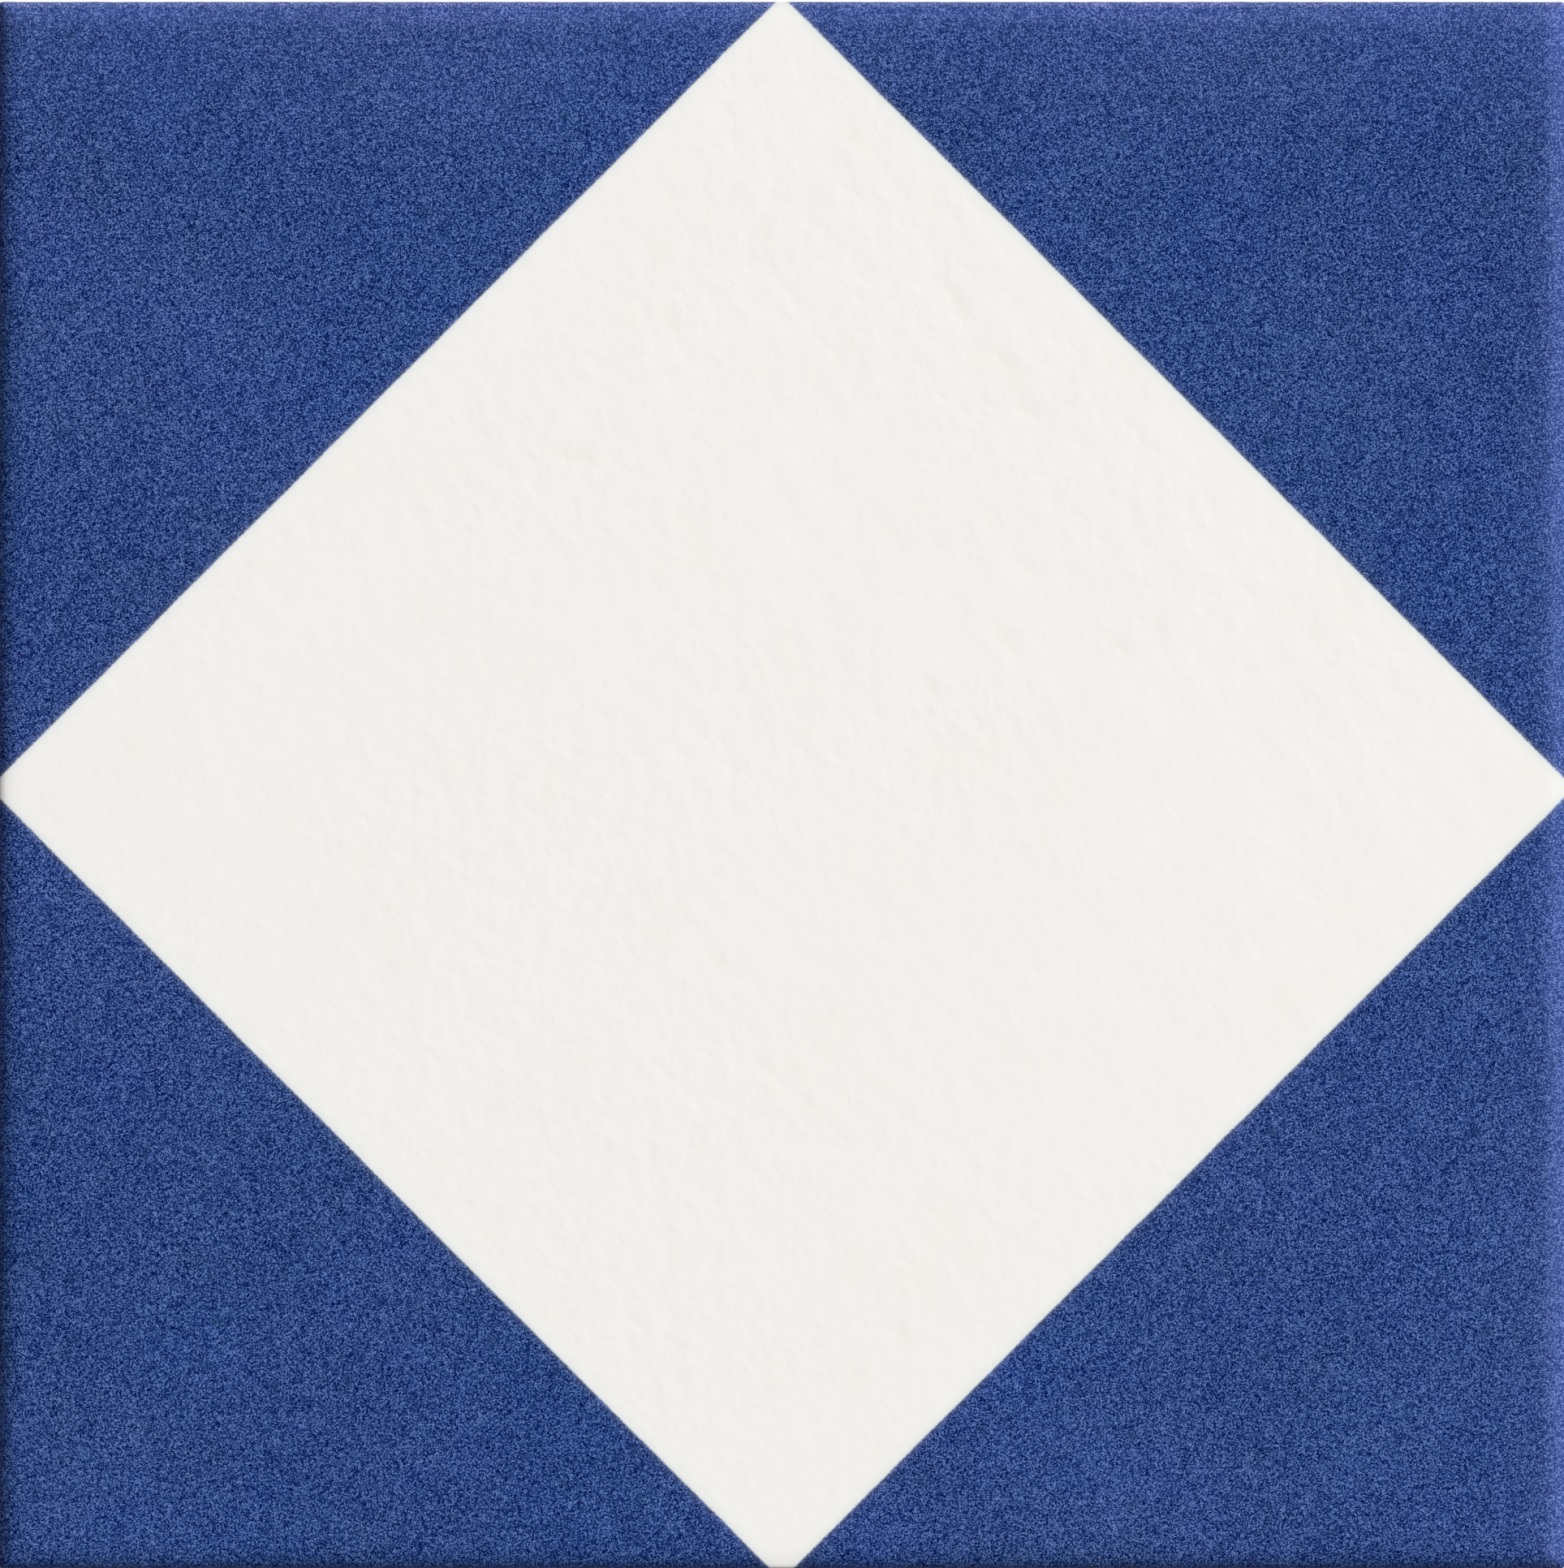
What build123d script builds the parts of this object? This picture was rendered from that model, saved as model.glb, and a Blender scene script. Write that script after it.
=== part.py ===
"""A square field tile, pressed and fired as one piece, lying on its back with the glazed face up."""

import os
from math import cos, radians, sin, tan

from build123d import *

# Overall sizes, in millimetres, with angles in degrees
side = 200.0
thickness = 8.5
corner_radius = 0.6

# The glazed face falls away to its edges in three arcs, each tilted further from the level
fall_radius = 480.0
fall_tilt = 0.9
shoulder_radius = 4.2
shoulder_tilt = 40.0
arris_radius = 1.2

# Walls left by the press die, and the bevel round the back
wall_draft = 1.5
back_bevel = 0.6

# Keyed back: square pockets between crossing ribs, inside a plain margin. An even row of pockets
# has a rib on each middle line
pockets_per_row = 8
rib_width = 3.2
margin_width = 10.0
pocket_depth = 0.75
pocket_corner_radius = 3.5
pocket_wall_tilt = 40.0


def tilted_arc_end(start, radius, start_tilt, end_tilt):
    """Give the point where an arc ends that starts at a tilt below level and bends down to another."""
    run = radius * (sin(radians(end_tilt)) - sin(radians(start_tilt)))
    drop = radius * (cos(radians(start_tilt)) - cos(radians(end_tilt)))
    return (start[0] + run, start[1] - drop)


def tilted_arc(start, radius, start_tilt, end_tilt):
    """Draw that arc, through the point at the middle of its bend."""
    middle = tilted_arc_end(start, radius, start_tilt, (start_tilt + end_tilt) / 2)
    end = tilted_arc_end(start, radius, start_tilt, end_tilt)
    return ThreePointArc(start, middle, end)


# Half of the pressed section, from the middle of the face out to the edge and back under
wall_tilt = 90 + wall_draft
arris_run = arris_radius * (1 - sin(radians(shoulder_tilt)))
shoulder_run = shoulder_radius * (sin(radians(shoulder_tilt)) - sin(radians(fall_tilt)))
fall_run = fall_radius * sin(radians(fall_tilt))
flat_end = (side / 2 - arris_run - shoulder_run - fall_run, thickness)
fall_end = tilted_arc_end(flat_end, fall_radius, 0, fall_tilt)
shoulder_end = tilted_arc_end(fall_end, shoulder_radius, fall_tilt, shoulder_tilt)
arris_end = tilted_arc_end(shoulder_end, arris_radius, shoulder_tilt, wall_tilt)
wall_foot = (arris_end[0] - (arris_end[1] - back_bevel) * tan(radians(wall_draft)), back_bevel)
back_edge = (wall_foot[0] - back_bevel, 0)

half_outline = [
    Line((0, thickness), flat_end),
    tilted_arc(flat_end, fall_radius, 0, fall_tilt),
    tilted_arc(fall_end, shoulder_radius, fall_tilt, shoulder_tilt),
    tilted_arc(shoulder_end, arris_radius, shoulder_tilt, wall_tilt),
    Line(arris_end, wall_foot),
    Line(wall_foot, back_edge),
    Line(back_edge, (0, 0)),
    Line((0, 0), (0, thickness)),
]
half_section = make_face(half_outline)
section = half_section + mirror(half_section, about=Plane.YZ)

# The section run both ways and crossed, so that the rounded edges meet in mitres
across = extrude(Plane.XZ * section, amount=side, both=True)
pressed = across & Rot(0, 0, 90) * across

# The die's corners are a little rounded in plan, and draw in below the arris as the walls do
die_outline = Pos(0, 0, arris_end[1]) * RectangleRounded(side, side, corner_radius)
die_above = extrude(die_outline, amount=thickness)
die_below = extrude(die_outline, amount=-thickness, taper=wall_draft)
pressed = pressed & (die_above + die_below)

# The pockets share what the margin and the ribs leave of the back
keyed_width = 2 * (back_edge[0] - margin_width)
pitch = (keyed_width + rib_width) / pockets_per_row
pocket_width = pitch - rib_width
pocket_mouth = RectangleRounded(pocket_width, pocket_width, pocket_corner_radius)
pocket = extrude(pocket_mouth, amount=pocket_depth, taper=pocket_wall_tilt)
pocket_places = GridLocations(pitch, pitch, pockets_per_row, pockets_per_row)
field_tile = pressed - [place * pocket for place in pocket_places]

os.makedirs("parts", exist_ok=True)
export_step(field_tile, "parts/field_tile.step")
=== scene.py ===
"""Dress a square field tile: its pressed form, its blue and white glaze, its fired back, and the studio."""

import logging
import math
from collections.abc import Iterator, Mapping, Sequence
from dataclasses import dataclass, field
from enum import Enum
from typing import Any, Union

import bpy
import numpy as np
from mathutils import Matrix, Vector, noise


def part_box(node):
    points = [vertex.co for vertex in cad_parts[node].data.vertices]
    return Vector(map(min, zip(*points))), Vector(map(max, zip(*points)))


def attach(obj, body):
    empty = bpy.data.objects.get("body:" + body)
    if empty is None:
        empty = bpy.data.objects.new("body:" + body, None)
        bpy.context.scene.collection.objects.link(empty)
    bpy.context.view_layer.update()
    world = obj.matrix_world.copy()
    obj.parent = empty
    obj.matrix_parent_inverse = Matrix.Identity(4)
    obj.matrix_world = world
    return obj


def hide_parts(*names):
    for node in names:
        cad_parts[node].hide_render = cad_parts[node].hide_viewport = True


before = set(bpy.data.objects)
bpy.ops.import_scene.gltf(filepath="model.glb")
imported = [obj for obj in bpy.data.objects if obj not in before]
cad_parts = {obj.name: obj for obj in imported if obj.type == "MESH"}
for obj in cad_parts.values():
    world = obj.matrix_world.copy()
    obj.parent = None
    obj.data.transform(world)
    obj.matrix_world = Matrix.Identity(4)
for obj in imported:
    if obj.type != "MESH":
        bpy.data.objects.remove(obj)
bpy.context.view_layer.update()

LOG = logging.getLogger("field_tile")
MM = 0.001
NODE = "field_tile"
DENT_LAYER = "dented"
NO_LIMIT = 1e3
TOLERANCE = 1e-6

Colour = tuple[float, float, float]
Pairs = tuple[tuple[float, float], ...]
Value = Union[float, Sequence[float], "Signal"]


def from_screen(red: int, green: int, blue: int) -> Colour:
    """Turn a colour in screen levels, from 0 to 255, into linear light, from 0 to 1."""
    shares = (level / 255 for level in (red, green, blue))
    return tuple(s / 12.92 if s <= 0.04045 else ((s + 0.055) / 1.055) ** 2.4 for s in shares)


class Coat(Enum):
    """What covers a stretch of the tile, in the order of its material slots."""

    GLAZE = 0
    BODY = 1


class Wander(Enum):
    """What a smooth noise shapes, each with its own layer of the noise."""

    SWELL = 3.1
    LIP = 5.3
    DRIP = 8.9
    RIPPLE = 11.7
    STREAK = 27.3
    OUTLINE = 41.3


class Signal:
    """An output socket of a shader tree that takes part in sums as a number does."""

    def __init__(self, tree: "ShaderTree", socket: bpy.types.NodeSocket) -> None:
        """Keep the tree and the socket."""
        self.tree = tree
        self.socket = socket

    def _math(self, operation: str, *operands: Value) -> "Signal":
        """Add a Math node for one operation on its operands, in order."""
        return self.tree.signal("ShaderNodeMath", {"operation": operation}, dict(enumerate(operands)))

    def __add__(self, other: Value) -> "Signal":
        """Give self + other."""
        return self._math("ADD", self, other)

    __radd__ = __add__

    def __sub__(self, other: Value) -> "Signal":
        """Give self - other."""
        return self._math("SUBTRACT", self, other)

    def __rsub__(self, other: Value) -> "Signal":
        """Give other - self."""
        return self._math("SUBTRACT", other, self)

    def __mul__(self, other: Value) -> "Signal":
        """Give self * other."""
        return self._math("MULTIPLY", self, other)

    __rmul__ = __mul__

    def __truediv__(self, other: Value) -> "Signal":
        """Give self / other."""
        return self._math("DIVIDE", self, other)

    def __rtruediv__(self, other: Value) -> "Signal":
        """Give other / self."""
        return self._math("DIVIDE", other, self)

    def __abs__(self) -> "Signal":
        """Give the size of self."""
        return self._math("ABSOLUTE", self)

    def most(self, other: Value) -> "Signal":
        """Give the larger of self and other."""
        return self._math("MAXIMUM", self, other)

    def rise(self, low: float, high: float) -> "Signal":
        """Give a smooth step from 0 at low to 1 at high, which may lie below low."""
        sockets = {"Value": self, "From Min": low, "From Max": high}
        return self.tree.signal("ShaderNodeMapRange", {"interpolation_type": "SMOOTHSTEP"}, sockets)


class ShaderTree:
    """The nodes of one material or of the world."""

    MIX_FACTOR, MIX_FIRST, MIX_SECOND, MIX_RESULT = 0, 6, 7, 2
    LEAN_FACTOR, LEAN_FIRST, LEAN_SECOND, LEAN_RESULT = 0, 4, 5, 1

    def __init__(self, owner: Union[bpy.types.Material, bpy.types.World]) -> None:
        """Empty the owner's tree."""
        owner.use_nodes = True
        self.tree = owner.node_tree
        self.tree.nodes.clear()

    def node(
        self,
        kind: str,
        settings: Mapping[str, Any] | None = None,
        sockets: Mapping[str | int, Value] | None = None,
    ) -> bpy.types.Node:
        """Add a node.

        Args:
            kind: Blender's name for the type of node.
            settings: The node's properties, which are set first. A ramp's stops pair a place with a colour.
            sockets: A value or a signal for each input, by its name or number.

        Returns:
            The node.
        """
        made = self.tree.nodes.new(kind)
        for name, value in (settings or {}).items():
            if name == "stops":
                self._set_stops(made.color_ramp, value)
            else:
                setattr(made, name, value)
        for name, value in (sockets or {}).items():
            if isinstance(value, Signal):
                self.tree.links.new(value.socket, made.inputs[name])
            else:
                made.inputs[name].default_value = value
        return made

    @staticmethod
    def _set_stops(ramp: bpy.types.ColorRamp, stops: Sequence[tuple[float, Colour]]) -> None:
        """Give a ramp its stops, in rising order."""
        while len(ramp.elements) < len(stops):
            ramp.elements.new(1.0)
        for element, (place, colour) in zip(ramp.elements, stops):
            element.position = place
            element.color = (*colour, 1.0)

    def signal(
        self,
        kind: str,
        settings: Mapping[str, Any] | None = None,
        sockets: Mapping[str | int, Value] | None = None,
        output: str | int = 0,
    ) -> Signal:
        """Add a node, as node does, and give its output with this name or number."""
        return Signal(self, self.node(kind, settings, sockets).outputs[output])

    def place(self) -> Signal:
        """Give the place on the object, in metres."""
        return self.signal("ShaderNodeTexCoord", output="Object")

    def split(self, vector: Signal) -> list[Signal]:
        """Give the three parts of a vector in metres, in millimetres."""
        parts = self.node("ShaderNodeSeparateXYZ", None, {"Vector": vector})
        return [Signal(self, output) / MM for output in parts.outputs]

    def levelled(self, place: Signal, level: float) -> Signal:
        """Give places that are lowered to a level, in millimetres, where they lie above it."""
        top = (NO_LIMIT, NO_LIMIT, level * MM)
        return self.signal("ShaderNodeVectorMath", {"operation": "MINIMUM"}, {0: place, 1: top})

    def turned(self, place: Signal, turn: float, stretch: Sequence[float]) -> Signal:
        """Give places in a frame turned about the upright, in degrees, and drawn out along its axes."""
        sockets = {"Vector": place, "Rotation": (0, 0, math.radians(turn)), "Scale": tuple(stretch)}
        return self.signal("ShaderNodeMapping", {"vector_type": "TEXTURE"}, sockets)

    def noise(self, place: Signal, size: float, detail: float = 0.0, warp: float = 0.0) -> Signal:
        """Give a smooth random field about zero, with features of this size in millimetres."""
        sockets = {"Vector": place, "Scale": 1 / (size * MM), "Detail": detail, "Distortion": warp}
        return self.signal("ShaderNodeTexNoise", {"noise_dimensions": "3D"}, sockets) * 2 - 1

    def ramp(self, factor: Signal, stops: Sequence[tuple[float, Colour]]) -> Signal:
        """Give the colour that a ramp has at a factor."""
        return self.signal("ShaderNodeValToRGB", {"stops": stops}, {"Fac": factor}, "Color")

    def curve(self, factor: Signal, stops: Sequence[tuple[float, float]]) -> Signal:
        """Give the number that a row of stops has at a factor."""
        return self.ramp(factor, [(place, (number,) * 3) for place, number in stops])

    def mix(self, factor: Value, first: Value, second: Value) -> Signal:
        """Mix two colours.

        Args:
            factor: The share of the second colour.
            first: A colour or a signal.
            second: A colour or a signal.

        Returns:
            The mixed colour.
        """
        sockets = {self.MIX_FACTOR: factor, self.MIX_FIRST: first, self.MIX_SECOND: second}
        for name, value in sockets.items():
            if isinstance(value, tuple):
                sockets[name] = (*value, 1.0)
        return self.signal("ShaderNodeMix", {"data_type": "RGBA"}, sockets, self.MIX_RESULT)

    def times(self, first: Signal, second: Value) -> Signal:
        """Multiply two colours or vectors part by part."""
        return self.signal("ShaderNodeVectorMath", {"operation": "MULTIPLY"}, {0: first, 1: second})

    def settled(self, normal: Signal, share: Signal) -> Signal:
        """Lean a normal towards the object's own upright.

        Args:
            normal: The normal.
            share: How far it leans, from 0 to 1.

        Returns:
            The normal that leans.
        """
        settings = {"vector_type": "NORMAL", "convert_from": "OBJECT", "convert_to": "WORLD"}
        upright = self.signal("ShaderNodeVectorTransform", settings, {"Vector": (0.0, 0.0, 1.0)})
        sockets = {self.LEAN_FACTOR: share, self.LEAN_FIRST: normal, self.LEAN_SECOND: upright}
        lean = self.signal("ShaderNodeMix", {"data_type": "VECTOR"}, sockets, self.LEAN_RESULT)
        return self.signal("ShaderNodeVectorMath", {"operation": "NORMALIZE"}, {0: lean})

    def bump(self, height: Signal) -> Signal:
        """Give the normal of a surface with a height in millimetres."""
        return self.signal("ShaderNodeBump", None, {"Height": height, "Distance": MM})

    def surface(self, sockets: Mapping[str, Value]) -> None:
        """End a material in one shader with these sockets."""
        shader = self.signal("ShaderNodeBsdfPrincipled", None, sockets)
        self.node("ShaderNodeOutputMaterial", None, {"Surface": shader})


@dataclass(frozen=True)
class Spots:
    """Scattered round spots of another colour in a glaze. Sizes are in millimetres."""

    spacing: float
    radius: float
    share: float
    strength: float
    tint: Colour

    def over(self, tree: ShaderTree, place: Signal, colour: Signal) -> Signal:
        """Lay the spots over a colour.

        Args:
            tree: The tree that the nodes go in.
            place: The place on the tile, in metres.
            colour: The colour that they lie on.

        Returns:
            The colour with the spots.
        """
        sockets = {"Vector": place, "Scale": 1 / (self.spacing * MM)}
        cells = tree.node("ShaderNodeTexVoronoi", {"voronoi_dimensions": "2D"}, sockets)
        reach = Signal(tree, cells.outputs["Distance"]) * self.spacing
        shade = {"Color": Signal(tree, cells.outputs["Color"])}
        chance = tree.signal("ShaderNodeSeparateColor", None, shade, "Red")
        cover = reach.rise(self.radius, 0.0) * chance.rise(1 - self.share, 1.0)
        return tree.mix(cover * self.strength, colour, self.tint)


@dataclass(frozen=True)
class BlueGlaze:
    """The stippled cobalt of the tile's corners. Sizes are in millimetres."""

    tones: tuple[tuple[float, Colour], ...] = (
        (0.00, from_screen(0, 5, 62)),
        (0.25, from_screen(3, 34, 94)),
        (0.50, from_screen(35, 64, 123)),
        (0.75, from_screen(69, 94, 153)),
        (1.00, from_screen(101, 126, 183)),
    )
    # The grain, as pairs of size and strength
    stipples: Pairs = ((0.16, 1.08), (0.5, 0.10))
    mottle_size: float = 3.2
    mottle_strength: float = 0.055
    drift_size: float = 34.0
    drift_strength: float = 0.06
    red_drift_size: float = 42.0
    red_drift_strength: float = 0.22
    blue_drift_size: float = 14.0
    blue_drift_strength: float = 0.14
    # Painted light and shade along the edges, as pairs of distance in from the edge and share of the tint:
    # painted edge light along the far and right edges, with a real paler glaze farther in along the far edge,
    # a painted highlight on the far arris, and painted shade along the near and left edges
    usual_colour: Colour = from_screen(51, 75, 130)
    band_grain: float = 0.6
    # The paler blue of the far and right bands: painted edge light, and along the far edge also a real paler
    # glaze
    edge_light_and_tint_colour: Colour = from_screen(71, 91, 152)
    band_reach: float = 20.0
    # Along the far edge: painted edge light and sheen within about 3.6 mm of the edge, a real paler glaze
    # farther in
    far_painted_light_and_tint: Pairs = (
        (0.0, 0.70), (2.0, 0.66), (2.7, 0.55), (3.6, 0.34), (5.2, 0.22), (9.8, 0.17), (13.5, 0.10),
        (20.0, 0.0),
    )
    # Along the right edge: painted edge light and sheen
    right_painted_light: Pairs = (
        (0.0, 0.75), (1.2, 0.74), (1.8, 0.63), (2.6, 0.38), (3.6, 0.20), (5.2, 0.10), (9.8, 0.0),
    )
    # A painted highlight along the far arris
    arris_painted_highlight_colour: Colour = from_screen(128, 142, 190)
    arris_painted_highlight: Pairs = ((0.0, 0.05), (0.25, 0.26), (0.5, 0.18), (0.8, 0.0))
    # Painted shade along the near and left edges
    edge_painted_shade_colour: Colour = from_screen(6, 22, 62)
    edge_painted_shade: Pairs = ((0.0, 0.50), (0.4, 0.42), (0.8, 0.20), (1.6, 0.0))
    flecks: Spots = Spots(spacing=13.0, radius=0.24, share=0.4, strength=1.0, tint=from_screen(120, 142, 196))
    pits: Spots = Spots(spacing=9.0, radius=1.0, share=0.5, strength=0.55, tint=from_screen(24, 54, 92))

    def colour(self, tree: ShaderTree, place: Signal, half_side: float) -> Signal:
        """Lay out the colour of the blue.

        Args:
            tree: The tree that the nodes go in.
            place: The place on the tile, in metres.
            half_side: Half of the tile's side.

        Returns:
            The colour.
        """
        mottle = tree.noise(place, self.mottle_size, detail=2.0)
        drift = tree.noise(place, self.drift_size, detail=1.0)
        tone = 0.5 + mottle * self.mottle_strength + drift * self.drift_strength
        for size, strength in self.stipples:
            tone = tone + tree.noise(place, size) * strength
        colour = tree.times(tree.ramp(tone, self.tones), self.stain(tree, place))
        x, y, _ = tree.split(place)
        # Painted edge light along the far and right edges, with a real paler glaze along the far one, a
        # painted highlight on the far arris, and painted shade along the near and left edges
        bands = (
            (half_side - y, self.far_painted_light_and_tint, self.edge_light_and_tint_colour),
            (half_side - x, self.right_painted_light, self.edge_light_and_tint_colour),
            (half_side - y, self.arris_painted_highlight, self.arris_painted_highlight_colour),
            (half_side + y, self.edge_painted_shade, self.edge_painted_shade_colour),
            (half_side + x, self.edge_painted_shade, self.edge_painted_shade_colour),
        )
        for edge, stops, tint in bands:
            share = tree.curve(edge / self.band_reach, [(at / self.band_reach, part) for at, part in stops])
            grained = tree.times(colour, [a / b for a, b in zip(tint, self.usual_colour)])
            colour = tree.mix(share, colour, tree.mix(self.band_grain, tint, grained))
        return self.flecks.over(tree, place, self.pits.over(tree, place, colour))

    def stain(self, tree: ShaderTree, place: Signal) -> Signal:
        """Give the tint by which the blue leans to violet or to green from place to place."""
        red = 1 + tree.noise(place, self.red_drift_size, detail=3.0) * self.red_drift_strength
        blue = 1 + tree.noise(place, self.blue_drift_size, detail=3.0) * self.blue_drift_strength
        return tree.signal("ShaderNodeCombineXYZ", None, {"X": red, "Y": 1.0, "Z": blue})


@dataclass(frozen=True)
class WhiteGlaze:
    """The off-white of the tile's diamond. Sizes are in millimetres."""

    milk: Colour = from_screen(241, 240, 237)
    cream: Colour = from_screen(240, 238, 233)
    cloud_size: float = 11.0
    cloud_reach: tuple[float, float] = (-0.9, 0.9)

    def colour(self, tree: ShaderTree, place: Signal) -> Signal:
        """Lay out the colour of the white at each place."""
        cloud = tree.noise(place, self.cloud_size, detail=3.0)
        return tree.mix(cloud.rise(*self.cloud_reach), self.milk, self.cream)


@dataclass(frozen=True)
class GlazeFinish:
    """The satin glaze of the face, with a pale diamond that runs off the middle of each side."""

    blue: BlueGlaze = field(default_factory=BlueGlaze)
    white: WhiteGlaze = field(default_factory=WhiteGlaze)
    diamond_reach: float = 101.07
    diamond_middle: tuple[float, float] = (-0.01, -0.32)
    # How the blue and a pale halo set in across the diamond's edge, from inside to outside
    edge_wander: Pairs = ((0.35, 0.07), (5.0, 0.08))
    bleed_span: float = 1.6
    bleed: Pairs = (
        (-0.20, 0.0), (-0.14, 0.06), (-0.07, 0.25), (0.0, 0.56), (0.07, 0.83), (0.14, 0.935),
        (0.25, 0.955), (0.47, 0.98), (0.9, 0.995), (1.5, 1.0),
    )
    halo: Pairs = ((-1.55, 0.0), (-1.0, 0.04), (-0.62, 0.08), (-0.36, 0.16), (-0.24, 0.23))
    halo_colour: Colour = from_screen(170, 204, 216)
    # The noises are read at one height, so that the whole flat face has an even slice of them
    level: float = 7.29
    # The thick white lies flatter over the shoulder than the body under it
    settle: float = 0.84
    settle_height: tuple[float, float] = (6.2, 7.4)
    settle_inset: tuple[float, float] = (6.0, 3.4)
    roughness: float = 0.5
    roughness_spread: float = 0.05
    specular_level: float = 0.03
    peel_size: float = 0.9
    peel_height: float = 0.009
    hammer_size: float = 2.6
    hammer_height: float = 0.041
    streak_turn: float = -57.0
    streak_stretch: tuple[float, float, float] = (1.5, 1.0, 1.0)
    streak_size: float = 2.2
    streak_height: float = 0.014
    streak_warp: float = 0.9
    # Patches in which the waves are weaker
    calm_size: float = 30.0
    calm_share: float = 0.45
    calm_reach: tuple[float, float] = (-0.35, 0.35)
    # Lumps along the rounded edge
    lump_size: float = 1.1
    lump_height: float = 0.05
    lump_inset: tuple[float, float] = (4.5, 2.5)
    # A darker white in the dents: painted shade
    dent_painted_shade_colour: Colour = from_screen(237, 236, 230)

    def outside(self, tree: ShaderTree, place: Signal) -> Signal:
        """Give how far each place lies outside the diamond's slightly unsteady edge.

        Args:
            tree: The tree that the nodes go in.
            place: The place on the tile, in metres.

        Returns:
            The distance, as a share of the bleed's whole span from inside to outside.
        """
        x, y, _ = tree.split(place)
        across = abs(x - self.diamond_middle[0]) + abs(y - self.diamond_middle[1]) - self.diamond_reach
        distance = across / math.sqrt(2)
        for size, strength in self.edge_wander:
            distance = distance + tree.noise(place, size) * strength
        return 0.5 + distance / (2 * self.bleed_span)

    @staticmethod
    def inset(tree: ShaderTree, place: Signal, half_side: float) -> Signal:
        """Give how far in from the nearest side each place lies."""
        x, y, _ = tree.split(place)
        return half_side - abs(x).most(abs(y))

    def waves(self, tree: ShaderTree, place: Signal) -> Signal:
        """Give the height of the waves at each place."""
        streaked = tree.turned(place, self.streak_turn, self.streak_stretch)
        streak = tree.noise(streaked, self.streak_size, detail=1.0, warp=self.streak_warp)
        hammer = tree.noise(place, self.hammer_size, detail=1.0)
        calm = tree.noise(place, self.calm_size).rise(*self.calm_reach)
        return (hammer * self.hammer_height + streak * self.streak_height) * (1 - self.calm_share * calm)

    def material(self, half_side: float) -> bpy.types.Material:
        """Make the glaze's material.

        Args:
            half_side: Half of the tile's side.

        Returns:
            The material.
        """
        made = bpy.data.materials.new("satin_glaze")
        tree = ShaderTree(made)
        spot = tree.place()
        place = tree.levelled(spot, self.level)
        outside = self.outside(tree, place)
        blue, halo = (
            tree.curve(outside, [(0.5 + at / (2 * self.bleed_span), share) for at, share in stops])
            for stops in (self.bleed, self.halo)
        )
        dented = tree.signal("ShaderNodeAttribute", {"attribute_name": DENT_LAYER}, output="Fac")
        # Painted shade: the white is darker in the dents
        white_colour = tree.mix(dented, self.white.colour(tree, place), self.dent_painted_shade_colour)
        white_colour = tree.mix(halo, white_colour, self.halo_colour)
        colour = tree.mix(blue, white_colour, self.blue.colour(tree, place, half_side))
        peel = tree.noise(place, self.peel_size, detail=1.0)
        inset, height = self.inset(tree, spot, half_side), tree.split(spot)[2]
        lumps = tree.noise(place, self.lump_size) * inset.rise(*self.lump_inset)
        relief = peel * self.peel_height + self.waves(tree, place) + lumps * self.lump_height
        bumped = tree.bump(relief)
        flat = inset.rise(*self.settle_inset) * height.rise(*self.settle_height) * self.settle
        settled = tree.settled(bumped, (1 - blue) * flat)
        tree.surface(
            {
                "Base Color": colour,
                "Roughness": self.roughness + peel * self.roughness_spread,
                "Normal": settled,
                "Specular IOR Level": self.specular_level,
            }
        )
        return made


@dataclass(frozen=True)
class FiredBodyFinish:
    """The unglazed buff stoneware of the walls and back. Sizes are in millimetres."""

    pale: Colour = from_screen(214, 202, 184)
    warm: Colour = from_screen(192, 172, 148)
    speck_colour: Colour = from_screen(122, 98, 78)
    wash_colour: Colour = from_screen(232, 226, 214)
    cloud_size: float = 9.0
    grain_size: float = 0.5
    speck_spacing: float = 2.6
    speck_radius: float = 0.22
    wash_height: float = 0.12
    wash_size: float = 4.0
    wash_reach: tuple[float, float] = (-0.2, 0.5)
    wash_share: float = 0.8
    warm_reach: tuple[float, float] = (-0.7, 0.7)
    grain_share: float = 0.5
    roughness: float = 0.88
    specular_level: float = 0.3
    grain_height: float = 0.02

    def material(self) -> bpy.types.Material:
        """Make the fired body's material."""
        made = bpy.data.materials.new("fired_body")
        tree = ShaderTree(made)
        place = tree.place()
        height = tree.split(place)[2]
        cloud = tree.noise(place, self.cloud_size, detail=3.0)
        grain = tree.noise(place, self.grain_size, detail=2.0)
        warmth = (cloud + grain * self.grain_share).rise(*self.warm_reach)
        colour = tree.mix(warmth, self.pale, self.warm)
        sockets = {"Vector": place, "Scale": 1 / (self.speck_spacing * MM)}
        reach = tree.signal("ShaderNodeTexVoronoi", None, sockets) * self.speck_spacing
        colour = tree.mix(reach.rise(self.speck_radius, 0.0), colour, self.speck_colour)
        wash = tree.noise(place, self.wash_size, detail=4.0).rise(*self.wash_reach)
        low = height.rise(self.wash_height, 0.0)
        colour = tree.mix(wash * low * self.wash_share, colour, self.wash_colour)
        tree.surface(
            {
                "Base Color": colour,
                "Roughness": self.roughness,
                "Normal": tree.bump(grain * self.grain_height),
                "Specular IOR Level": self.specular_level,
            }
        )
        return made


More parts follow.
